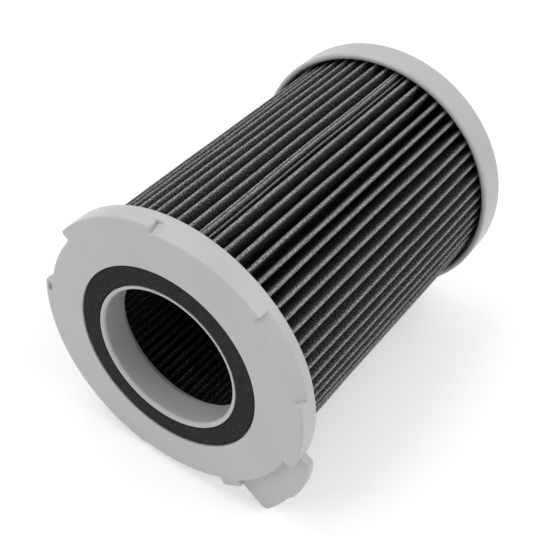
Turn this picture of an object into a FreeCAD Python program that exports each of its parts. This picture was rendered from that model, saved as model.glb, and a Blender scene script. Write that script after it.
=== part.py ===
import FreeCAD, Part
import math
import os
import re
import Sketcher

# Pleated cartridge filter, lying on its side: millimetres, degrees, +Z up.
# The outlet end faces -Y and the closed cap +Y. The axis is level along Y. The origin is on the surface
# that the filter lies on, under the middle of its bounding box.
#
# Every piece is drawn in one local frame and then placed: local X is the row's X, local Y points down and
# local Z is the depth behind the face plate. A clock angle is counted clockwise from the top, as seen by
# someone who looks into the outlet.

SIZES = {
    # Whole filter
    "overall_length": 191.0,
    "seal_clearance": 0.1,
    "glue_gap": 0.1,
    # Outlet tube and collar
    "bore_radius": 34.9,
    "bore_length": 13.9,
    "collar_wall": 2.1,
    "collar_setback": 0.3,
    "collar_rounding": 1.8,
    "tube_wall": 2.8,
    "tube_length": 16.2,
    "tube_mouth_wall": 1.2,
    "tube_mouth_chamfer": 0.5,
    # Face plate and seal groove
    "groove_width": 10.3,
    "groove_depth": 3.5,
    "groove_floor": 2.5,
    "plate_thickness": 3.0,
    "plate_step_wall": 2.2,
    "seal_setback": 0.5,
    # Tapered skirt round the plate
    "skirt_back_radius": 68.4,
    "skirt_taper": 3.1,
    "skirt_depth": 10.0,
    "skirt_wall": 2.4,
    "rim_rounding": 0.8,
    "root_overlap": 1.0,
    # Lobes: heights stand out of the skirt, at its front edge for low and high, at its back edge for the rest
    "stop_start_angle": 305.4,
    "stop_end_angle": 352.4,
    "back_rim_height": 2.0,
    "back_rim_setback": 5.4,
    "ramp_toe_end_angle": 356.0,
    "upper_ramp_low": 1.4,
    "ramp_toe_back_height": 0.1,
    "upper_ramp_end_angle": 40.4,
    "upper_ramp_high": 4.0,
    "side_ramp_end_angle": 75.4,
    "side_ramp_high": 1.6,
    "thumb_lobe_end_angle": 107.8,
    "thumb_lobe_end_height": 3.4,
    "lower_rim_end_angle": 146.0,
    "lower_rim_high": 1.4,
    "lobe_setback": 1.0,
    "foot_lobe_start_angle": 141.4,
    "foot_lobe_end_angle": 151.2,
    "foot_lobe_height": 2.5,
    "long_lobe_start_angle": 189.4,
    "long_lobe_end_angle": 275.4,
    "long_lobe_end_height": 1.9,
    "lobe_rounding": 1.5,
    # Pocket in the end of the long lobe
    "pocket_angle": 3.6,
    "pocket_end_angle": 1.3,
    "pocket_rim_wall": 1.9,
    "pocket_width": 2.2,
    "pocket_depth": 1.0,
    # Thumb lever, a flat tab level with the back of the skirt: reaches are measured from the skirt's back edge
    "lever_thickness": 4.0,
    "lever_root_start_angle": 105.5,
    "lever_start_angle": 107.2,
    "lever_start_reach": 8.0,
    "lever_notch_start_angle": 125.8,
    "lever_notch_start_reach": 15.0,
    "lever_notch_end_angle": 127.7,
    "lever_notch_end_reach": 14.7,
    "lever_tip_angle": 141.4,
    "lever_tip_reach": 19.6,
    "lever_root_end_angle": 148.0,
    "lever_start_bulge": 45.0,
    "lever_tip_bulge": 80.0,
    "lever_tip_rounding": 2.5,
    "lever_shoulder_rounding": 2.6,
    # Pleated sheet: it clears the skirt and the cap outside, and the tube and the locating ring inside
    "pleat_count": 64.0,
    "skirt_clearance": 2.4,
    "cap_clearance": 1.9,
    "tube_clearance": 1.5,
    "ring_clearance": 1.4,
    "sheet_thickness": 0.8,
    "fold_radius": 0.65,
    "seam_angle": 4.0,
    "seam_height": 0.3,
    "seam_glue_depth": 17.6,
    # Adhesive at both ends
    "front_potting_cover": 1.5,
    "rear_potting_thickness": 3.5,
    # Rear cap
    "cap_radius": 68.4,
    "cap_wall": 2.9,
    "cap_height": 17.5,
    "cap_floor": 3.0,
    "cap_lip_rounding": 1.2,
    "cap_back_rounding": 3.0,
    "locating_ring_radius": 37.8,
    "locating_ring_wall": 2.0,
    "locating_ring_height": 6.0,
    "cap_panel_margin": 2.8,
    "cap_panel_depth": 2.0,
}

# Sizes that follow from the driving ones, as expressions of the sheet
COLLAR_RADIUS = "(bore_radius + collar_wall)"
TUBE_RADIUS = "(bore_radius + tube_wall)"
TUBE_MOUTH = "(bore_radius + tube_wall - tube_mouth_wall)"
GROOVE_RADIUS = "(bore_radius + collar_wall + groove_width)"
STEP_RADIUS = "(bore_radius + collar_wall + groove_width + plate_step_wall)"
PLATE_BACK = "(groove_depth + groove_floor)"
SKIRT_FRONT = "(skirt_back_radius - skirt_taper)"
SKIRT_INNER_BACK = "(skirt_back_radius - skirt_wall)"
ROOT_FRONT = "(skirt_back_radius - skirt_taper - root_overlap)"
ROOT_BACK = "(skirt_back_radius - 2 * root_overlap)"
MEDIA_FRONT = "(groove_depth + groove_floor + front_potting_cover)"
CAP_INNER = "(cap_radius - cap_wall)"
CAP_FLOOR_DEPTH = "(overall_length - cap_floor)"
MEDIA_BACK = "(overall_length - cap_floor - rear_potting_thickness)"
RING_INNER = "(locating_ring_radius - locating_ring_wall)"
PLEAT_OUTER = "min(skirt_back_radius - skirt_wall - skirt_clearance; cap_radius - cap_wall - cap_clearance)"
PLEAT_INNER = "max(bore_radius + tube_wall + tube_clearance; locating_ring_radius + ring_clearance)"

# Ends of the lobes, whose corners are rounded
RAMP_TOE_HIGH = ("(upper_ramp_low + (upper_ramp_high - upper_ramp_low) * (ramp_toe_end_angle - stop_end_angle)"
                 " / (upper_ramp_end_angle + 360 - stop_end_angle))")
TOE_LENGTH = "((ramp_toe_end_angle - stop_end_angle) * pi / 180 * skirt_back_radius)"
CORNER_ROUNDING = f"min(lobe_rounding; 0.35 * {TOE_LENGTH})"  # the ramp's toe is the shortest wall at a corner
LOBE_ENDS = (
    "stop_start_angle", "stop_end_angle", "thumb_lobe_end_angle", "foot_lobe_start_angle",
    "foot_lobe_end_angle", "long_lobe_start_angle", "long_lobe_end_angle",
)


def skirt_inner(depth):
    """Radius of the skirt's inner wall at a depth behind the face."""
    return f"({SKIRT_INNER_BACK} - skirt_taper * (1 - ({depth}) / skirt_depth))"


doc = FreeCAD.newDocument("filter_cartridge")
sheet = doc.addObject("Spreadsheet::Sheet", "sizes")
for row, (alias, number) in enumerate(SIZES.items(), start=1):
    sheet.set(f"A{row}", alias)
    sheet.set(f"B{row}", str(number))
    sheet.setAlias(f"B{row}", alias)
doc.recompute()


def bound(text):
    """The expression with each alias written as a cell of the sheet."""
    return re.sub(r"[a-z][a-z_]+[a-z]", lambda word: "sizes." + word.group() if word.group() in SIZES
                  else word.group(), text)


def value(text):
    """What an expression of the sheet comes to now."""
    return float(sheet.evalExpression(text))


def polar(radius, clock):
    """A corner of a face outline, from its distance to the axis and its clock angle."""
    return (f"{radius} * sin({clock})", f"-{radius} * cos({clock})")


def origin_plane(body, role):
    return next(item for item in body.Origin.OriginFeatures if item.Role == role)


def arc_through(start, end, radius, clockwise):
    """Short arc of that radius between two corners, and which of its ends the start is."""
    if clockwise:
        arc, _, _ = arc_through(end, start, radius, False)
        return arc, 2, 1
    chord = end - start
    reach = math.sqrt(max(radius ** 2 - chord.Length ** 2 / 4, 0.0))
    centre = (start + end) * 0.5 + FreeCAD.Vector(-chord.y, chord.x, 0).normalize() * reach
    first = math.atan2(start.y - centre.y, start.x - centre.x)
    last = math.atan2(end.y - centre.y, end.x - centre.x)
    if last < first:
        last += 2 * math.pi
    circle = Part.Circle(centre, FreeCAD.Vector(0, 0, 1), radius)
    return Part.ArcOfCircle(circle, first, last), 1, 2


def outline(body, name, role, corners, bends=None, depth=None):
    """Closed sketch through the corners. bends gives the edges, by their first corner, that are arcs."""
    bends = bends or {}
    sketch = body.newObject("Sketcher::SketchObject", name)
    sketch.AttachmentSupport = (origin_plane(body, role), [""])
    sketch.MapMode = "FlatFace"
    if depth:
        sketch.setExpression("AttachmentOffset.Base.z", bound(depth))
    points = [FreeCAD.Vector(value(x), value(y), 0) for x, y in corners]
    ends = []
    for index, start in enumerate(points):
        end = points[(index + 1) % len(points)]
        if index in bends:
            radius, clockwise = bends[index]
            arc, first, last = arc_through(start, end, value(radius), clockwise)
            edge = sketch.addGeometry(arc, False)
            constraint = sketch.addConstraint(Sketcher.Constraint("Radius", edge, value(radius)))
            sketch.setExpression(f"Constraints[{constraint}]", bound(radius))
        else:
            edge = sketch.addGeometry(Part.LineSegment(start, end), False)
            first, last = 1, 2
        ends.append((edge, first, last))
    for index, (edge, first, _) in enumerate(ends):
        before, _, last = ends[index - 1]
        sketch.addConstraint(Sketcher.Constraint("Coincident", before, last, edge, first))
        for kind, text, number in (("DistanceX", corners[index][0], points[index].x),
                                   ("DistanceY", corners[index][1], points[index].y)):
            constraint = sketch.addConstraint(Sketcher.Constraint(kind, edge, first, number))
            sketch.setExpression(f"Constraints[{constraint}]", bound(text))
    return sketch


def new_body(label):
    body = doc.addObject("PartDesign::Body", label)
    body.Label = label
    return body


def turned(body, name, corners):
    """Solid of revolution about the axis from a half section of (radius, depth) corners."""
    sketch = outline(body, name + "_section", "XZ_Plane", corners)
    feature = body.newObject("PartDesign::Revolution", name)
    feature.Profile = sketch
    feature.ReferenceAxis = (sketch, ["V_Axis"])
    feature.Angle = 360.0
    doc.recompute()
    return feature


def sector(body, name, clocks, root, rims, depth):
    """Sketch of a ring sector: its root radius, and the rim's radius at its start and at its end."""
    start, end = clocks
    corners = [polar(root, start), polar(rims[0], start), polar(rims[1], end), polar(root, end)]
    bends = {1: (f"({rims[0]} + {rims[1]}) / 2", False), 3: (root, True)}
    return outline(body, name, "XY_Plane", corners, bends, depth)


def root(depth):
    """Radius inside the skirt's wall, where a lobe starts, at a depth behind the face."""
    return f"({ROOT_FRONT} + ({ROOT_BACK} - {ROOT_FRONT}) * ({depth}) / skirt_depth)"


def lobe(body, name, clocks, front_rims, back_rims, front="0", back="skirt_depth"):
    """Lobe or ramp on the skirt, between a sector at its front and one at its back."""
    loft = body.newObject("PartDesign::AdditiveLoft", name)
    loft.Profile = sector(body, name + "_front", clocks, root(front), front_rims, front)
    loft.Sections = [sector(body, name + "_back", clocks, root(back), back_rims, back)]
    loft.Ruled = True
    doc.recompute()
    return loft


class EdgeMiddle:
    """Where the middle of an edge lies: distance to the axis, clock angle, depth, and whether it is upright,
    which means nearly parallel to the axis."""

    def __init__(self, edge):
        halfway = (edge.FirstParameter + edge.LastParameter) / 2
        middle = edge.valueAt(halfway)
        self.radius = math.hypot(middle.x, middle.y)
        self.clock = math.degrees(math.atan2(middle.x, -middle.y)) % 360
        self.depth = middle.z
        self.upright = abs(edge.tangentAt(halfway).z) > 0.97
        if isinstance(edge.Curve, Part.Circle) and edge.isClosed():
            self.radius = edge.Curve.Radius


def rounded(body, name, radius, test):
    """Fillet on the edges of the body's last feature that pass the test."""
    base = body.Tip
    names = [f"Edge{index}" for index, edge in enumerate(base.Shape.Edges, start=1) if test(EdgeMiddle(edge))]
    feature = body.newObject("PartDesign::Fillet", name)
    feature.Base = (base, names)
    feature.setExpression("Radius", bound(radius))
    doc.recompute()
    return feature


def near(number, text, slack=0.02):
    return abs(number - value(text)) < slack


def make_front_flange():
    """One moulding: plate with seal groove and outlet tube, tapered skirt, bayonet lobes and thumb lever."""
    body = new_body("front_flange")
    turned(body, "flange_plate", [
        ("bore_radius", "collar_setback"),
        (COLLAR_RADIUS, "collar_setback"),
        (COLLAR_RADIUS, "groove_depth"),
        (GROOVE_RADIUS, "groove_depth"),
        (GROOVE_RADIUS, "0"),
        (SKIRT_FRONT, "0"),
        ("skirt_back_radius", "skirt_depth"),
        (SKIRT_INNER_BACK, "skirt_depth"),
        (skirt_inner("plate_thickness"), "plate_thickness"),
        (STEP_RADIUS, "plate_thickness"),
        (STEP_RADIUS, PLATE_BACK),
        (TUBE_RADIUS, PLATE_BACK),
        (TUBE_RADIUS, "tube_length"),
        (TUBE_MOUTH, "tube_length"),
        (TUBE_MOUTH, "bore_length + tube_mouth_chamfer"),
        ("bore_radius", "bore_length"),
    ])
    add_lobes(body)
    add_lever(body)
    add_end_pocket(body)
    round_flange(body)
    return body


def at_front(height):
    """Radius that stands that far out of the skirt's front edge."""
    return f"({SKIRT_FRONT} + {height})"


def at_back(height):
    """Radius that stands that far out of the skirt's back edge."""
    return f"(skirt_back_radius + {height})"


def add_lobes(body):
    """Stop lobe, the two ramps that a bayonet rides on, thumb lobe, rim by the lever, foot and long lobe."""
    rim = at_back("back_rim_height")
    lobe(body, "stop_lobe", ("stop_start_angle", "stop_end_angle"), (rim, rim), (rim, rim))
    lobe(body, "back_rim", ("(stop_end_angle - 360)", "side_ramp_end_angle"), (rim, rim), (rim, rim),
         front="back_rim_setback")
    lobe(body, "ramp_toe", ("(stop_end_angle - 360)", "(ramp_toe_end_angle - 360)"),
         (at_front("upper_ramp_low"), at_front(RAMP_TOE_HIGH)),
         (at_back("ramp_toe_back_height"), rim), back="back_rim_setback")
    lobe(body, "upper_ramp", ("(ramp_toe_end_angle - 360)", "upper_ramp_end_angle"),
         (at_front(RAMP_TOE_HIGH), at_front("upper_ramp_high")), (rim, rim), back="back_rim_setback")
    lobe(body, "side_ramp", ("upper_ramp_end_angle", "side_ramp_end_angle"),
         (SKIRT_FRONT, at_front("side_ramp_high")), (rim, rim), back="back_rim_setback")
    thumb = (rim, at_back("thumb_lobe_end_height"))
    lobe(body, "thumb_lobe", ("side_ramp_end_angle", "thumb_lobe_end_angle"), thumb, thumb)
    lobe(body, "lower_rim", ("thumb_lobe_end_angle", "lower_rim_end_angle"),
         (at_front("lower_rim_high"), at_front("lower_rim_high")),
         ("skirt_back_radius", "skirt_back_radius"))
    foot = (at_back("foot_lobe_height"), at_back("foot_lobe_height"))
    lobe(body, "foot_lobe", ("foot_lobe_start_angle", "foot_lobe_end_angle"), foot, foot, front="lobe_setback")
    long = ("skirt_back_radius", at_back("long_lobe_end_height"))
    lobe(body, "long_lobe", ("long_lobe_start_angle", "long_lobe_end_angle"), long, long, front="lobe_setback")


def add_lever(body):
    """Flat thumb tab, level with the skirt's back, with a small notch in its outer edge."""
    lever = body.newObject("PartDesign::Pad", "thumb_lever")
    lever.Profile = outline(body, "lever_outline", "XY_Plane", [
        polar(ROOT_BACK, "lever_root_start_angle"),
        polar(at_back("lever_start_reach"), "lever_start_angle"),
        polar(at_back("lever_notch_start_reach"), "lever_notch_start_angle"),
        polar(at_back("lever_notch_end_reach"), "lever_notch_end_angle"),
        polar(at_back("lever_tip_reach"), "lever_tip_angle"),
        polar(ROOT_BACK, "lever_root_end_angle"),
    ], {1: ("lever_start_bulge", False), 3: ("lever_tip_bulge", False), 5: (ROOT_BACK, True)},
        "skirt_depth - lever_thickness")
    lever.setExpression("Length", bound("lever_thickness"))
    doc.recompute()
    rounded(body, "lever_tip_corner", "lever_tip_rounding",
            lambda edge: edge.upright and near(edge.radius, at_back("lever_tip_reach")))
    rounded(body, "lever_shoulder", "lever_shoulder_rounding",
            lambda edge: edge.upright and near(edge.radius, at_back("lever_start_reach")))


def add_end_pocket(body):
    """Small open pocket in the face of the long lobe, just inside its end wall."""
    end = "(long_lobe_end_angle - pocket_end_angle)"
    outer = at_back("long_lobe_end_height - pocket_rim_wall")
    solid_volume = body.Tip.Shape.Volume
    pocket = body.newObject("PartDesign::Pocket", "end_pocket")
    pocket.Profile = sector(body, "pocket_outline", (f"({end} - pocket_angle)", end),
                            f"({outer} - pocket_width)", (outer, outer), "lobe_setback")
    pocket.Reversed = True
    pocket.setExpression("Length", bound("pocket_depth"))
    doc.recompute()
    if pocket.Shape.Volume >= solid_volume:
        raise RuntimeError("the pocket in the long lobe cuts nothing")


def round_flange(body):
    """Rounded corners and front edges. Every edge is found by where it lies."""
    inside = value("skirt_back_radius") - 0.1
    outside = value(at_back("thumb_lobe_end_height")) + 0.1
    end_angles = [value(alias) % 360 for alias in LOBE_ENDS]
    rounded(body, "lobe_corners", CORNER_ROUNDING,
            lambda edge: edge.upright and inside < edge.radius < outside
            and any(abs(edge.clock - angle) < 0.1 for angle in end_angles))
    rounded(body, "face_edges", "rim_rounding",
            lambda edge: abs(edge.depth) < 0.01 and edge.radius > value(ROOT_FRONT))
    lobe_inside = value(SKIRT_FRONT) + 1.9
    pocket_start = value("long_lobe_end_angle - pocket_end_angle - pocket_angle") - 0.5
    rounded(body, "lobe_edges", "rim_rounding",
            lambda edge: near(edge.depth, "lobe_setback") and edge.radius > lobe_inside
            and not (pocket_start < edge.clock < value("long_lobe_end_angle") - 0.5))
    rounded(body, "collar_edge", "collar_rounding",
            lambda edge: near(edge.depth, "collar_setback") and near(edge.radius, "bore_radius"))


def make_seal_ring():
    """Flat gasket that lies in the groove, round the collar."""
    body = new_body("seal_ring")
    inner = f"({COLLAR_RADIUS} + seal_clearance)"
    outer = f"({GROOVE_RADIUS} - seal_clearance)"
    turned(body, "gasket", [
        (inner, "seal_setback"),
        (outer, "seal_setback"),
        (outer, "groove_depth"),
        (inner, "groove_depth"),
    ])
    return body


def make_front_potting():
    """Adhesive that fills the skirt behind the plate and holds the front ends of the pleats."""
    body = new_body("front_potting")
    turned(body, "front_bead", [
        (f"({TUBE_RADIUS} + glue_gap)", PLATE_BACK),
        (f"({STEP_RADIUS} + glue_gap)", PLATE_BACK),
        (f"({STEP_RADIUS} + glue_gap)", "plate_thickness"),
        (f"({skirt_inner('plate_thickness')} - glue_gap)", "plate_thickness"),
        (f"({skirt_inner(MEDIA_FRONT)} - glue_gap)", MEDIA_FRONT),
        (f"({TUBE_RADIUS} + glue_gap)", MEDIA_FRONT),
    ])
    return body


def make_rear_potting():
    """Adhesive on the floor of the cap, which holds the back ends of the pleats."""
    body = new_body("rear_potting")
    inner = "(locating_ring_radius + glue_gap)"
    outer = f"({CAP_INNER} - glue_gap)"
    turned(body, "rear_bead", [
        (inner, MEDIA_BACK),
        (outer, MEDIA_BACK),
        (outer, CAP_FLOOR_DEPTH),
        (inner, CAP_FLOOR_DEPTH),
    ])
    return body


def make_rear_cap():
    """Closed cap: rounded lip, ring that centres the pleats, and a shallow panel sunk in its back."""
    body = new_body("rear_cap")
    lip = "(overall_length - cap_height)"
    panel = f"({RING_INNER} - cap_panel_margin)"
    turned(body, "cap_shell", [
        ("0", f"({CAP_FLOOR_DEPTH} - cap_panel_depth)"),
        (RING_INNER, f"({CAP_FLOOR_DEPTH} - cap_panel_depth)"),
        (RING_INNER, f"({CAP_FLOOR_DEPTH} - locating_ring_height)"),
        ("locating_ring_radius", f"({CAP_FLOOR_DEPTH} - locating_ring_height)"),
        ("locating_ring_radius", CAP_FLOOR_DEPTH),
        (CAP_INNER, CAP_FLOOR_DEPTH),
        (CAP_INNER, lip),
        ("cap_radius", lip),
        ("cap_radius", "overall_length"),
        (panel, "overall_length"),
        (panel, "(overall_length - cap_panel_depth)"),
        ("0", "(overall_length - cap_panel_depth)"),
    ])
    rounded(body, "cap_lip", "cap_lip_rounding",
            lambda edge: near(edge.depth, lip) and edge.radius > value("locating_ring_radius"))
    rounded(body, "cap_back", "cap_back_rounding",
            lambda edge: near(edge.depth, "overall_length") and near(edge.radius, "cap_radius"))
    return body


class Fold:
    """Cross-section of the folded sheet: where one pleat's tip and the valley after it lie."""

    def __init__(self):
        self.count = round(value("pleat_count"))
        self.pitch = 2 * math.pi / self.count
        self.seam = math.radians(value("seam_angle") - 90)
        self.bend = value("fold_radius")
        self.half = value("sheet_thickness") / 2
        self.tip_centre = value(PLEAT_OUTER) - self.bend - self.half
        self.valley_centre = value(PLEAT_INNER) + self.bend + self.half

    def radial(self, angle):
        return FreeCAD.Vector(math.cos(angle), math.sin(angle), 0)

    def tip(self, pleat):
        return self.radial(self.seam + pleat * self.pitch) * self.tip_centre

    def valley(self, pleat):
        return self.radial(self.seam + (pleat + 0.5) * self.pitch) * self.valley_centre

    def wall_normal(self, pleat, side):
        """Unit vector square to a pleat's wall, out of the pleat on its side: 1 after the tip, -1 before."""
        run = (self.valley(pleat) if side > 0 else self.valley(pleat - 1)) - self.tip(pleat)
        across = FreeCAD.Vector(run.y, -run.x, 0).normalize() * side
        lean = 2 * self.bend / run.Length
        return run.normalize() * lean + across * math.sqrt(1 - lean ** 2)

    def tip_end(self, pleat, side, radius):
        return self.tip(pleat) + self.wall_normal(pleat, side) * radius

    def valley_end(self, pleat, side, radius):
        valley = self.valley(pleat) if side > 0 else self.valley(pleat - 1)
        return valley - self.wall_normal(pleat, side) * radius


def line(start, end):
    return Part.LineSegment(start, end).toShape()


def arc(start, middle, end):
    return Part.Arc(start, middle, end).toShape()


def seam_tip(fold, start, end):
    """Outer skin over the seam pleat: the sheet's two ends side by side, each with a round edge."""
    up = fold.radial(fold.seam)
    across = FreeCAD.Vector(-up.y, up.x, 0)
    edge_radius = (fold.bend + fold.half) / 2
    middle = fold.tip(0) + up * value("seam_height")
    left = middle - across * 2 * edge_radius
    right = middle + across * 2 * edge_radius
    return [
        line(start, left),
        arc(left, middle + (up - across) * edge_radius, middle),
        arc(middle, middle + (up + across) * edge_radius, right),
        line(right, end),
    ]


def seam_floor(fold, tip_radius, valley_radius):
    """Inner skin under the seam pleat, where glue fills the fold down to the start of the seam."""
    glued = (fold.tip_centre - value(f"{PLEAT_OUTER} - seam_glue_depth")) / (fold.tip_centre - fold.valley_centre)
    sides = []
    for side in (-1, 1):
        top = fold.tip_end(0, side, tip_radius)
        bottom = fold.valley_end(0, side, valley_radius)
        sides.append((top + (bottom - top) * glued, bottom))
    (left, left_bottom), (right, right_bottom) = sides
    return [line(left_bottom, left), line(left, right), line(right, right_bottom)]


def fold_line(start, middle, end, radius):
    """A fold across the sheet: an arc on its outside, and a flat crease on its inside."""
    if radius > value("fold_radius"):
        return arc(start, middle, end)
    return line(start, end)


def skin(fold, outer):
    """One face of the sheet, all the way round, with its walls and folds."""
    tip_radius = fold.bend + (fold.half if outer else -fold.half)
    valley_radius = fold.bend - (fold.half if outer else -fold.half)
    edges = []
    for pleat in range(fold.count):
        start, end = (fold.tip_end(pleat, side, tip_radius) for side in (-1, 1))
        low_start, low_end = (fold.valley_end(pleat, side, valley_radius) for side in (-1, 1))
        if pleat == 0 and not outer:
            edges += seam_floor(fold, tip_radius, valley_radius)
        else:
            up = fold.radial(fold.seam + pleat * fold.pitch)
            top = [fold_line(start, fold.tip(pleat) + up * tip_radius, end, tip_radius)]
            edges += [line(low_start, start)]
            edges += seam_tip(fold, start, end) if pleat == 0 else top
            edges += [line(end, low_end)]
        down = fold.radial(fold.seam + (pleat + 0.5) * fold.pitch)
        next_start = fold.valley_end(pleat + 1, -1, valley_radius)
        edges.append(fold_line(low_end, fold.valley(pleat) - down * valley_radius, next_start, valley_radius))
    return Part.Wire(edges)


def make_pleated_media():
    """One sheet folded into a ring of pleats, its ends glued in the seam pleat, pushed along the axis."""
    fold = Fold()
    profile = doc.addObject("Part::Feature", "folded_sheet_section")
    face = Part.makeFace([skin(fold, True), skin(fold, False)], "Part::FaceMakerBullseye")
    face.translate(FreeCAD.Vector(0, 0, value(MEDIA_FRONT)))
    profile.Shape = face
    media = doc.addObject("Part::Extrusion", "pleated_media")
    media.Label = "pleated_media"
    media.Base = profile
    media.DirMode = "Custom"
    media.Dir = FreeCAD.Vector(0, 0, 1)
    media.Solid = True
    media.setExpression("LengthFwd", bound(f"{MEDIA_BACK} - {MEDIA_FRONT}"))
    doc.recompute()
    return media


def lay_down(nodes):
    """Turn every piece on its side, with the lowest of them on the floor and the whole centred on it."""
    boxes = [node.Shape.optimalBoundingBox(False, False) for node in nodes]
    middle = (min(box.XMin for box in boxes) + max(box.XMax for box in boxes)) / 2
    lowest = max(box.YMax for box in boxes)
    place = FreeCAD.Placement(FreeCAD.Vector(-middle, -value("overall_length") / 2, lowest),
                              FreeCAD.Rotation(FreeCAD.Vector(1, 0, 0), -90))
    for node in nodes:
        node.Placement = place
    print(f"axis at x {-middle:.3f}, height {lowest:.3f}")


def check_and_export(nodes):
    doc.recompute()
    for item in doc.Objects:
        if any(word in item.State for word in ("Invalid", "Error")):
            raise RuntimeError(f"{item.Name} failed: {item.State}")
    for node in nodes:
        if node.Shape.isNull() or not node.Shape.isValid():
            raise RuntimeError(f"{node.Label} has no valid shape")
    os.makedirs("parts", exist_ok=True)
    for node in nodes:
        node.Shape.exportStep(f"parts/{node.Label}.step")


pieces = [
    make_front_flange(),
    make_seal_ring(),
    make_front_potting(),
    make_pleated_media(),
    make_rear_potting(),
    make_rear_cap(),
]
lay_down(pieces)
check_and_export(pieces)
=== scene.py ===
import math
import random

import bpy
from mathutils import Matrix, Vector, noise


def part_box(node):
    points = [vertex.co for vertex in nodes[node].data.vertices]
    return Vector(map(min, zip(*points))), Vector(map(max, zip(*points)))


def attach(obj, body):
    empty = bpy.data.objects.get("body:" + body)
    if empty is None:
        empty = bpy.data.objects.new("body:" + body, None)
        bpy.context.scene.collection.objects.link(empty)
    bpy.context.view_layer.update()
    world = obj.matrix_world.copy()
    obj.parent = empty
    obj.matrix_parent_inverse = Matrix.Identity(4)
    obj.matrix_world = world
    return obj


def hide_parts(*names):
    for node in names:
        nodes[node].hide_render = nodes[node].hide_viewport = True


# Pleated filter cartridge on a pale floor. Metres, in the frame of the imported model: the axis lies along Y,
# the outlet faces -Y and the closed cap +Y. The folded sheet and the gasket are drawn in millimetres about the axis.

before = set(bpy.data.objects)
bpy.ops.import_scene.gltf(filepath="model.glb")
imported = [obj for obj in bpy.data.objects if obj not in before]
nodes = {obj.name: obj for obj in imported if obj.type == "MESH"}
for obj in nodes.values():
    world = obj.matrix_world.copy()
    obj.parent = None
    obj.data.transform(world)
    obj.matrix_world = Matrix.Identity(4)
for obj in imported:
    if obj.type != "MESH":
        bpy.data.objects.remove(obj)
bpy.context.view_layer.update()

MM = 0.001


def middle_of(node):
    low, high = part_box(node)
    return (low + high) / 2


AXIS = middle_of("seal_ring")


# Camera, fitted to the outlines in the photograph

SENSOR_WIDTH = 36.0
FOCAL_LENGTH = 68.39
CAMERA_PLACE = (0.19006, -0.33881, 0.40123)
CAMERA_RIGHT = (0.82249, 0.56303, 0.08064)
CAMERA_AHEAD = (-0.37328, 0.64130, -0.67037)


def place_camera():
    """Long lens from the front right and above, with the roll that the photograph has."""
    data = bpy.data.cameras.new("camera")
    data.sensor_fit = "HORIZONTAL"
    data.sensor_width = SENSOR_WIDTH
    data.lens = FOCAL_LENGTH
    data.clip_start = 0.01
    data.clip_end = 20.0
    camera = bpy.data.objects.new("camera", data)
    bpy.context.scene.collection.objects.link(camera)
    right = Vector(CAMERA_RIGHT).normalized()
    ahead = Vector(CAMERA_AHEAD)
    ahead = (ahead - right * ahead.dot(right)).normalized()
    up = right.cross(ahead)
    axes = Matrix((right, up, -ahead)).transposed()
    camera.matrix_world = Matrix.Translation(Vector(CAMERA_PLACE)) @ axes.to_4x4()
    bpy.context.scene.camera = camera


# Material helpers

class Nodes:
    """Short way to build the node tree of a material or of the world."""

    def __init__(self, owner, output="OutputMaterial"):
        self.owner = owner
        owner.use_nodes = True
        self.tree = owner.node_tree
        self.tree.nodes.clear()
        self.output = self.add(output)

    def add(self, kind, inputs=None, **settings):
        """A new node. Each input is a socket, which is linked, or a value."""
        node = self.tree.nodes.new("ShaderNode" + kind)
        for key, setting in settings.items():
            setattr(node, key, setting)
        for key, source in (inputs or {}).items():
            if isinstance(source, bpy.types.NodeSocket):
                self.tree.links.new(source, node.inputs[key])
            else:
                node.inputs[key].default_value = source
        return node

    def place(self):
        """Object coordinates, in metres."""
        return self.add("TexCoord").outputs["Object"]

    def noise(self, where, scale, detail, roughness=0.5, distortion=0.0):
        return self.add("TexNoise", {"Vector": where, "Scale": scale, "Detail": detail, "Roughness": roughness,
                                     "Distortion": distortion}).outputs["Fac"]

    def ramp(self, factor, low, high, out_low=0.0, out_high=1.0):
        return self.add("MapRange", {0: factor, 1: low, 2: high, 3: out_low, 4: out_high}).outputs[0]

    def math(self, operation, first, second):
        return self.add("Math", {0: first, 1: second}, operation=operation).outputs[0]

    def mix(self, factor, first, second):
        """Colour mix. Of the node's sockets, 0, 6 and 7 take the factor and the two colours, and 2 gives the result."""
        return self.add("Mix", {0: factor, 6: first, 7: second}, data_type="RGBA").outputs[2]

    def bump(self, height, distance, strength, normal=None):
        inputs = {"Height": height, "Distance": distance, "Strength": strength}
        if normal is not None:
            inputs["Normal"] = normal
        return self.add("Bump", inputs).outputs["Normal"]

    def surface(self, **inputs):
        """Principled shader, with underscores in the names for the spaces of its sockets."""
        return self.add("BsdfPrincipled", {key.replace("_", " "): source for key, source in inputs.items()})

    def finish(self, shader):
        self.tree.links.new(shader.outputs[0], self.output.inputs["Surface"])
        return self.owner


def grey(level):
    return (level, level, level, 1.0)


def warm(level):
    """Grey with the slight olive warmth of the black fleece and the felt."""
    return (level, level * 0.995, level * 0.965, 1.0)


def moulded_plastic(name, level, edge):
    """Light grey moulding: very fine spark-eroded grain, faint cloudiness, and edges that are never quite sharp."""
    n = Nodes(bpy.data.materials.new(name))
    where = n.place()
    grain = n.noise(where, scale=2600.0, detail=2.0, roughness=0.6)
    ripple = n.noise(where, scale=90.0, detail=2.0)
    cloud = n.noise(where, scale=22.0, detail=3.0, roughness=0.55)
    gloss = n.noise(where, scale=400.0, detail=2.0)
    colour = n.mix(n.ramp(cloud, 0.35, 0.65), grey(level * 0.975), grey(level * 1.02))
    soft_edge = n.add("Bevel", {"Radius": edge * MM}, samples=8).outputs["Normal"]
    normal = n.bump(ripple, distance=0.02 * MM, strength=0.6, normal=soft_edge)
    normal = n.bump(grain, distance=0.012 * MM, strength=0.5, normal=normal)
    return n.finish(n.surface(Base_Color=colour, Roughness=n.ramp(gloss, 0.3, 0.7, 0.31, 0.39), Normal=normal,
                              IOR=1.49))


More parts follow.
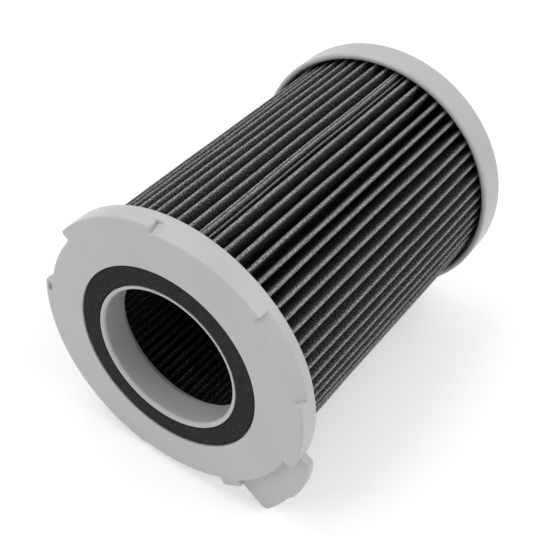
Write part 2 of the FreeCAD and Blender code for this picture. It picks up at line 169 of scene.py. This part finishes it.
FIBRE_LAYERS = ((0.35, 1.7), (1.25, 5.1), (2.2, 9.3))  # direction in the sheet, shift
FIBRE_SCALE = (520.0, 2900.0, 1.0)  # along the fibre, across it


def filter_sheet():
    """Black nonwoven: short fibres in the unfolded sheet's own directions, with a painted highlight in light grey on
    the crests that fades to painted shade down the walls.
    """
    n = Nodes(bpy.data.materials.new("filter_media"))
    sheet = n.add("UVMap", uv_map="sheet").outputs["UV"]
    painted_crest_light = n.add("Attribute", attribute_name="painted_crest_light").outputs["Fac"]
    fibres = None
    for angle, shift in FIBRE_LAYERS:
        turned = n.add("Mapping", {"Vector": sheet, "Location": (shift, shift * 0.7, 0.0),
                                   "Rotation": (0.0, 0.0, angle), "Scale": FIBRE_SCALE}).outputs["Vector"]
        streak = n.ramp(n.noise(turned, scale=1.0, detail=2.0, roughness=0.6, distortion=0.4), 0.56, 0.74)
        fibres = streak if fibres is None else n.math("MAXIMUM", fibres, streak)
    grain = n.noise(sheet, scale=1200.0, detail=2.0, roughness=0.75)
    speckle = n.ramp(grain, 0.43, 0.61)
    fleck = n.ramp(grain, 0.50, 0.66)
    cloud = n.ramp(n.noise(sheet, scale=110.0, detail=3.0, roughness=0.6), 0.3, 0.7)
    wall = n.mix(fleck, warm(0.006), warm(0.190))
    # Crest colour, lighter than the sheet itself: painted highlight.
    crest_highlight = n.mix(speckle, warm(0.15), warm(0.70))
    # The crest weight blends the painted highlight on the tips into painted shade down the walls.
    base = n.mix(painted_crest_light, wall, crest_highlight)
    # Light fibres are real texture, but they are made stronger towards the crests as painted highlight.
    light = n.mix(n.math("MULTIPLY", fibres, n.ramp(painted_crest_light, 0.0, 1.0, 0.07, 0.45)), base, warm(0.60))
    colour = n.mix(n.math("MULTIPLY", cloud, 0.22), light, warm(0.012))
    height = n.math("ADD", n.math("MULTIPLY", fibres, 0.7), n.math("MULTIPLY", speckle, 0.6))
    normal = n.bump(height, distance=0.18 * MM, strength=1.0)
    return n.finish(n.surface(Base_Color=colour, Roughness=0.85, Normal=normal, Specular_IOR_Level=0.08))


def gasket_felt():
    """Dense dark grey felt with a short nap."""
    n = Nodes(bpy.data.materials.new("seal_felt"))
    where = n.place()
    nap = n.noise(where, scale=1900.0, detail=4.0, roughness=0.7, distortion=0.5)
    blotch = n.noise(where, scale=180.0, detail=3.0, roughness=0.6)
    colour = n.mix(n.ramp(nap, 0.35, 0.7), warm(0.008), warm(0.064))
    colour = n.mix(n.ramp(blotch, 0.35, 0.7, 0.0, 0.35), colour, warm(0.018))
    normal = n.bump(nap, distance=0.12 * MM, strength=0.8)
    return n.finish(n.surface(Base_Color=colour, Roughness=0.9, Normal=normal, Specular_IOR_Level=0.12))


def cast_adhesive():
    """Dark cast potting: smooth skin with shallow settling waves."""
    n = Nodes(bpy.data.materials.new("potting"))
    wave = n.noise(n.place(), scale=140.0, detail=2.0)
    colour = n.mix(n.ramp(wave, 0.3, 0.7), grey(0.045), grey(0.075))
    normal = n.bump(wave, distance=0.25 * MM, strength=0.6)
    return n.finish(n.surface(Base_Color=colour, Roughness=0.36, Normal=normal))


def paint(piece, material):
    piece.data.materials.clear()
    piece.data.materials.append(material)


def new_piece(name, vertices, faces, material):
    """A smooth mesh that rides on the cartridge."""
    mesh = bpy.data.meshes.new(name)
    mesh.from_pydata(vertices, [], faces)
    mesh.validate()
    for polygon in mesh.polygons:
        polygon.use_smooth = True
    piece = bpy.data.objects.new(name, mesh)
    bpy.context.scene.collection.objects.link(piece)
    mesh.materials.append(material)
    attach(piece, "root")
    return piece


# Folded sheet. A station is a section across the filter; a depth runs from 0 at the flange to 1 at the cap.

PLEATS = 64
PITCH = 2 * math.pi / PLEATS
SEAM_ANGLE = math.radians(4.0)
OUTER = 63.6  # reach of the tips
INNER = 39.2  # reach of the valleys
LENGTH = 177.0
SHEET = 0.8  # thickness
BEND = 0.65  # inner radius of a fold
STATIONS = 28
TIP_POINTS = 8
VALLEY_POINTS = 4
WALL_REACH = (0.026, 0.080, 0.240, 0.560)  # shares of a wall, from the tip
WALL_CREST_LIGHT = (0.12, 0.05, 0.02, 0.0)  # weight of painted crest light at those shares: painted highlight fading to painted shade
WALL_POINTS = len(WALL_REACH)
WALL_BOW = 0.30
TIP_CREST_LIGHT = 0.12  # weight of painted crest light where the tip's bend begins; 1 on its crest
CREST_POWER = 2.6  # how narrow the painted highlight on the crest is
SHEET_CUT = 1.0  # metres: a face whose run reaches past this and back to 0 closes a ring
CLOSING_STEP = 0.0005  # metres
RANDOM_SEED = 64
SHIFT_SPREAD, LEAN_SPREAD, LIFT_SPREAD = 0.14, 0.24, 0.08  # how far single pleats stand off from even ones
SEAM_SHIFTS = (0.0, 0.1, 0.1)
SWAY, SWAY_FINE, RISE, VALLEY_SWAY, VALLEY_RISE, FATNESS = range(0, 1200, 200)  # seeds of each pleat's wanderings


class Pleat:
    """One pleat at one station: where its tip and the valley after it are."""

    def __init__(self, number, depth, shifts):
        def wander(seed, length):
            """Smooth wandering along the filter, about from -1 to 1, in waves of that length."""
            return noise.noise(Vector((depth * LENGTH / length, (number + seed) * 7.31, 0.37))) * 1.6

        free = math.sin(math.pi * depth) ** 0.6  # 0 at both glued ends
        shift, lean, lift = shifts[number]
        sway = shift + (wander(SWAY, 70.0) * 0.32 + wander(SWAY_FINE, 22.0) * 0.07
                        + lean * (depth - 0.5)) * (0.35 + 0.65 * free)
        rise = lift + wander(RISE, 45.0) * 0.16 * free
        self.tip_angle = SEAM_ANGLE + number * PITCH + sway / OUTER
        self.tip_radius = OUTER - BEND - SHEET / 2 + rise
        drift = wander(VALLEY_SWAY, 80.0) * 0.16
        self.valley_angle = SEAM_ANGLE + (number + 0.5) * PITCH + (sway * 0.2 + drift) / INNER
        self.valley_radius = INNER + BEND + SHEET / 2 + abs(wander(VALLEY_RISE, 60.0)) * 0.25
        self.fat = 1.0 + wander(FATNESS, 38.0) * 0.08


def about_axis(radius, angle):
    """Plane point in millimetres: x to the right and z up, angle clockwise from the top."""
    return Vector((radius * math.sin(angle), radius * math.cos(angle)))


def turn(vector, angle):
    c, s = math.cos(angle), math.sin(angle)
    return Vector((vector.x * c - vector.y * s, vector.x * s + vector.y * c))


def fold_points(before, here, offset):
    """Points of one pleat on a skin that lies offset from the sheet's middle: wall up, tip and wall down. With them
    go the last wall's normal and the bend of the valley after it."""
    tip = about_axis(here.tip_radius, here.tip_angle)
    low_before = about_axis(before.valley_radius, before.valley_angle)
    low_after = about_axis(here.valley_radius, here.valley_angle)
    tip_bend = BEND * here.fat + offset
    low_bend = BEND - offset

    def tangent(low, side):
        """Ends of the wall between the tip and a valley, and its normal; side is 1 after the tip and -1 before it."""
        run = low - tip
        reach = run.length
        lean = math.asin(min(0.95, (tip_bend + low_bend) / reach))
        away = Vector((-run.y, run.x)).normalized() * side
        direction = run.normalized()
        normal = away * math.cos(lean) + direction * math.sin(lean)
        return tip + normal * tip_bend, low - normal * low_bend, normal

    def wall(top, low, normal):
        """A slightly bowed wall from the tip down, each point with its weight of painted crest light, which fades to
        painted shade.
        """
        return [(top.lerp(low, reach) + normal * (math.sin(math.pi * reach) * WALL_BOW * here.fat), crest_light_share)
                for reach, crest_light_share in zip(WALL_REACH, WALL_CREST_LIGHT)]

    before_top, before_low, before_normal = tangent(low_before, -1)
    after_top, after_low, after_normal = tangent(low_after, 1)
    span = before_normal.angle(after_normal)
    sweep = span if (before_normal.x * after_normal.y - before_normal.y * after_normal.x) > 0 else -span
    if span > math.pi - 1e-4:
        sweep = -math.pi
    points = wall(before_top, before_low, before_normal)[::-1]
    # Tip points carry the painted crest light, strongest on the crest as painted highlight.
    for step in range(TIP_POINTS):
        share = step / (TIP_POINTS - 1)
        crest = math.sin(math.pi * share) ** CREST_POWER
        points.append((tip + turn(before_normal, sweep * share) * tip_bend, TIP_CREST_LIGHT + (1 - TIP_CREST_LIGHT) * crest))
    points += wall(after_top, after_low, after_normal)
    return points, after_normal, low_bend


def skin_ring(depth, shifts, offset):
    """All points of a skin at one station, each with its weight of painted crest light: painted highlight on the tips,
    painted shade down the walls, none in the valleys.
    """
    pleats = [Pleat(number, depth, shifts) for number in range(PLEATS)]
    ring = []
    for number, here in enumerate(pleats):
        points, normal, low_bend = fold_points(pleats[number - 1], here, offset)
        ring += seam_points(points, here, offset) if number == 0 else points
        centre = about_axis(here.valley_radius, here.valley_angle)
        inward = -centre.normalized()
        start = math.atan2(-normal.y, -normal.x)
        middle = math.atan2(inward.y, inward.x)
        half = (middle - start + math.pi) % (2 * math.pi) - math.pi
        for step in range(VALLEY_POINTS):
            angle = start + 2 * half * (step + 0.5) / VALLEY_POINTS
            ring.append((centre + Vector((math.cos(angle), math.sin(angle))) * low_bend, 0.0))
    return ring


# Tip of the seam pleat on the outer skin: millimetres across it, millimetres out of its crest, weight of painted crest
# light (painted highlight)
SEAM_OUTLINE = (
    (-1.30, -1.10, 0.35), (-1.22, -0.25, 0.9), (-0.95, 0.12, 1.0), (-0.50, 0.10, 1.0), (-0.30, -0.25, 0.5),
    (-0.18, -2.00, 0.0), (0.02, -2.00, 0.0), (0.14, -0.30, 0.5), (0.32, 0.02, 1.0), (0.78, 0.02, 1.0),
    (1.02, -0.30, 0.8), (1.12, -2.40, 0.1), (1.62, -6.50, 0.0), (2.12, -6.40, 0.0), (2.55, -2.10, 0.35),
    (2.72, -1.55, 0.8), (3.18, -1.60, 0.8), (3.24, -2.30, 0.2), (2.45, -9.00, 0.0),
)


def seam_points(points, here, offset):
    """The seam pleat: the sheet's two ends pinched side by side, and the trimmed flap that stands beside them. On the
    inner skin its tip keeps its form and only gets as many points."""
    tip = points[WALL_POINTS:WALL_POINTS + TIP_POINTS]
    if offset < 0:
        made = []
        for step in range(len(SEAM_OUTLINE)):
            place = step / (len(SEAM_OUTLINE) - 1) * (TIP_POINTS - 1)
            index = min(int(place), TIP_POINTS - 2)
            made.append((tip[index][0].lerp(tip[index + 1][0], place - index), 1.0))
    else:
        up = about_axis(1.0, here.tip_angle)
        side = Vector((up.y, -up.x))
        crest = here.tip_radius + BEND + offset
        made = [(up * (crest + rise) + side * across, painted_crest_light) for across, rise, painted_crest_light in SEAM_OUTLINE]
    return points[:WALL_POINTS] + made + points[WALL_POINTS + TIP_POINTS:]


def make_media(material):
    """Two skins, each a stack of rings, joined at both ends of the filter."""
    rng = random.Random(RANDOM_SEED)
    shifts = [(rng.gauss(0.0, SHIFT_SPREAD), rng.gauss(0.0, LEAN_SPREAD), rng.gauss(0.0, LIFT_SPREAD))
              for _ in range(PLEATS)]
    shifts[0] = SEAM_SHIFTS
    low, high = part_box("pleated_media")
    vertices, weights = [], []
    for offset in (SHEET / 2, -SHEET / 2):
        for station in range(STATIONS):
            depth = station / (STATIONS - 1)
            y = low.y + (high.y - low.y) * depth
            # Each point comes with its weight of painted crest light: painted highlight on tips, painted shade down
            # walls.
            for point, painted_crest_light in skin_ring(depth, shifts, offset):
                vertices.append((AXIS.x + point.x * MM, y, AXIS.z + point.y * MM))
                weights.append(painted_crest_light)
    count = len(vertices) // (2 * STATIONS)
    faces = []

    def join(first, second, flip):
        """Faces between two rings, given by their numbers."""
        first, second = first * count, second * count
        for index in range(count):
            after = (index + 1) % count
            face = (first + index, first + after, second + after, second + index)
            faces.append(face[::-1] if flip else face)

    for skin in range(2):
        for station in range(STATIONS - 1):
            ring = skin * STATIONS + station
            join(ring, ring + 1, skin == 1)
    join(0, STATIONS, True)
    join(STATIONS - 1, 2 * STATIONS - 1, False)
    media = new_piece("pleated_media_sheet", vertices, faces, material)
    length = add_sheet_coordinates(media, count, weights)
    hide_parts("pleated_media")


def add_sheet_coordinates(media, count, weights):
    """UV of the unfolded sheet in metres, and each point's weight of painted crest light. Returns the sheet's unfolded
    length.
    """
    mesh = media.data
    painted_crest_light = mesh.attributes.new("painted_crest_light", "FLOAT", "POINT")
    painted_crest_light.data.foreach_set("value", weights)
    unrolled = [0.0] * len(mesh.vertices)
    runs = []
    for start in range(0, len(mesh.vertices), count):
        run = 0.0
        for index in range(start + 1, start + count):
            run += (mesh.vertices[index].co - mesh.vertices[index - 1].co).length
            unrolled[index] = run
        runs.append(run)
    layer = mesh.uv_layers.new(name="sheet")
    for polygon in mesh.polygons:
        corners = [mesh.loops[loop].vertex_index for loop in polygon.loop_indices]
        longest = max(unrolled[corner] for corner in corners)
        for loop, corner in zip(polygon.loop_indices, corners):
            closes_ring = corner % count == 0 and longest > SHEET_CUT
            u = longest + CLOSING_STEP if closes_ring else unrolled[corner]
            layer.data[loop].uv = (u, mesh.vertices[corner].co.y)
    return sum(runs) / len(runs)


# Felt gasket

GROOVE_INNER = 37.0
GROOVE_OUTER = 47.3
GASKET_PLAY = 0.50
GASKET_SLIP = Vector((-0.31, -0.31))
GASKET_SINK = 0.06  # least depth of the felt's top under the solid's
GASKET_STEPS = 180  # around
TOP_STEPS = 6  # across
CUT_WIDTH = 0.9
# Cut edge: distance from it, and depth under the top; None for the groove's floor
CUT_EDGE = ((0.0, None), (0.0, 0.30), (0.10, 0.10), (0.30, 0.02), (CUT_WIDTH, 0.0))


def make_gasket(material):
    """Die-cut felt ring that has slipped a little down and left in its groove: soft cut edges, uneven top."""
    top, bottom = (corner.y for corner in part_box("seal_ring"))
    inner, outer = GROOVE_INNER + GASKET_PLAY, GROOVE_OUTER - GASKET_PLAY
    flat = outer - inner - 2 * CUT_WIDTH
    profile = [(inner + reach, sink) for reach, sink in CUT_EDGE]
    profile += [(inner + CUT_WIDTH + flat * step / TOP_STEPS, 0.0) for step in range(1, TOP_STEPS)]
    profile += [(outer - reach, sink) for reach, sink in reversed(CUT_EDGE)]
    size = len(profile)
    vertices, faces = [], []
    for step in range(GASKET_STEPS):
        angle = 2 * math.pi * step / GASKET_STEPS
        for radius, sink in profile:
            place = about_axis(radius, angle)
            uneven = noise.noise(Vector((place.x, place.y, 3.3)) * 0.12) * 0.10
            fray = noise.noise(Vector((place.x, place.y, 9.1)) * 0.45) * 0.05
            y = bottom if sink is None else top + (GASKET_SINK + sink + abs(uneven)) * MM
            place = about_axis(radius + fray, angle) + GASKET_SLIP
            vertices.append((AXIS.x + place.x * MM, y, AXIS.z + place.y * MM))
        here, there = step * size, (step + 1) % GASKET_STEPS * size
        for index in range(size):
            after = (index + 1) % size
            faces.append((here + index, here + after, there + after, there + index))
    gasket = new_piece("felt_gasket", vertices, faces, material)
    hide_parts("seal_ring")


# Floor, world and lamps

FLOOR_REACH = 4.0
LIFT_NEAR, LIFT_FAR = 0.36, 0.68  # what the floor's look gains close by and far off
NEAR, FAR = 0.35, 1.6
SKY = 0.50  # light on things; the world itself looks white
LAMP_TARGET = Vector((0.0, 0.0, 0.06))
LAMPS = (  # name, place, diameter, watts
    ("key", (-0.55, -0.12, 1.25), 0.8, 3.6),
    ("front", (-0.55, -1.05, 0.95), 0.9, 3.2),
    ("side", (0.85, 0.35, 1.05), 1.2, 5.2),
)


def seen_directly(n):
    """1 for rays from the camera and for mirrored or refracted ones, 0 for light that falls on things."""
    ray = n.add("LightPath")
    return n.math("MAXIMUM", n.math("MAXIMUM", ray.outputs["Is Camera Ray"], ray.outputs["Is Glossy Ray"]),
                  ray.outputs["Is Transmission Ray"])


def make_floor():
    """White sheet: what lands on things is its plain bounce, what is seen is lifted to white away from shadows."""
    mesh = bpy.data.meshes.new("floor")
    corners = [(x * FLOOR_REACH, y * FLOOR_REACH, 0.0) for x, y in ((-1, -1), (1, -1), (1, 1), (-1, 1))]
    mesh.from_pydata(corners, [], [(0, 1, 2, 3)])
    floor = bpy.data.objects.new("floor", mesh)
    bpy.context.scene.collection.objects.link(floor)
    n = Nodes(bpy.data.materials.new("floor"))
    where = n.place()
    colour = n.mix(n.noise(where, scale=3.0, detail=2.0), grey(0.89), grey(0.91))
    paper = n.add("BsdfDiffuse", {"Color": colour})
    away = n.add("VectorMath", {0: where}, operation="LENGTH").outputs["Value"]
    lifted = n.math("MULTIPLY", seen_directly(n), n.ramp(away, NEAR, FAR, LIFT_NEAR, LIFT_FAR))
    lift = n.add("Emission", {"Color": grey(1.0), "Strength": lifted})
    mesh.materials.append(n.finish(n.add("AddShader", {0: paper.outputs[0], 1: lift.outputs[0]})))


def make_world():
    n = Nodes(bpy.data.worlds.new("studio"), "OutputWorld")
    strength = n.ramp(seen_directly(n), 0.0, 1.0, SKY, 1.0)
    bpy.context.scene.world = n.finish(n.add("Background", {"Color": grey(1.0), "Strength": strength}))


def soft_lamp(name, place, diameter, watts):
    data = bpy.data.lights.new(name, "AREA")
    data.shape = "DISK"
    data.size = diameter
    data.energy = watts
    lamp = bpy.data.objects.new(name, data)
    bpy.context.scene.collection.objects.link(lamp)
    lamp.location = place
    lamp.rotation_euler = (LAMP_TARGET - Vector(place)).to_track_quat("-Z", "Y").to_euler()


place_camera()
flange_plastic = moulded_plastic("flange_plastic", level=0.56, edge=0.35)
cap_plastic = moulded_plastic("cap_plastic", level=0.52, edge=2.0)
potting = cast_adhesive()
paint(nodes["front_flange"], flange_plastic)
paint(nodes["rear_cap"], cap_plastic)
paint(nodes["front_potting"], potting)
paint(nodes["rear_potting"], potting)
make_media(filter_sheet())
make_gasket(gasket_felt())
make_floor()
make_world()
for lamp in LAMPS:
    soft_lamp(*lamp)
bpy.context.scene.view_settings.view_transform = "Standard"
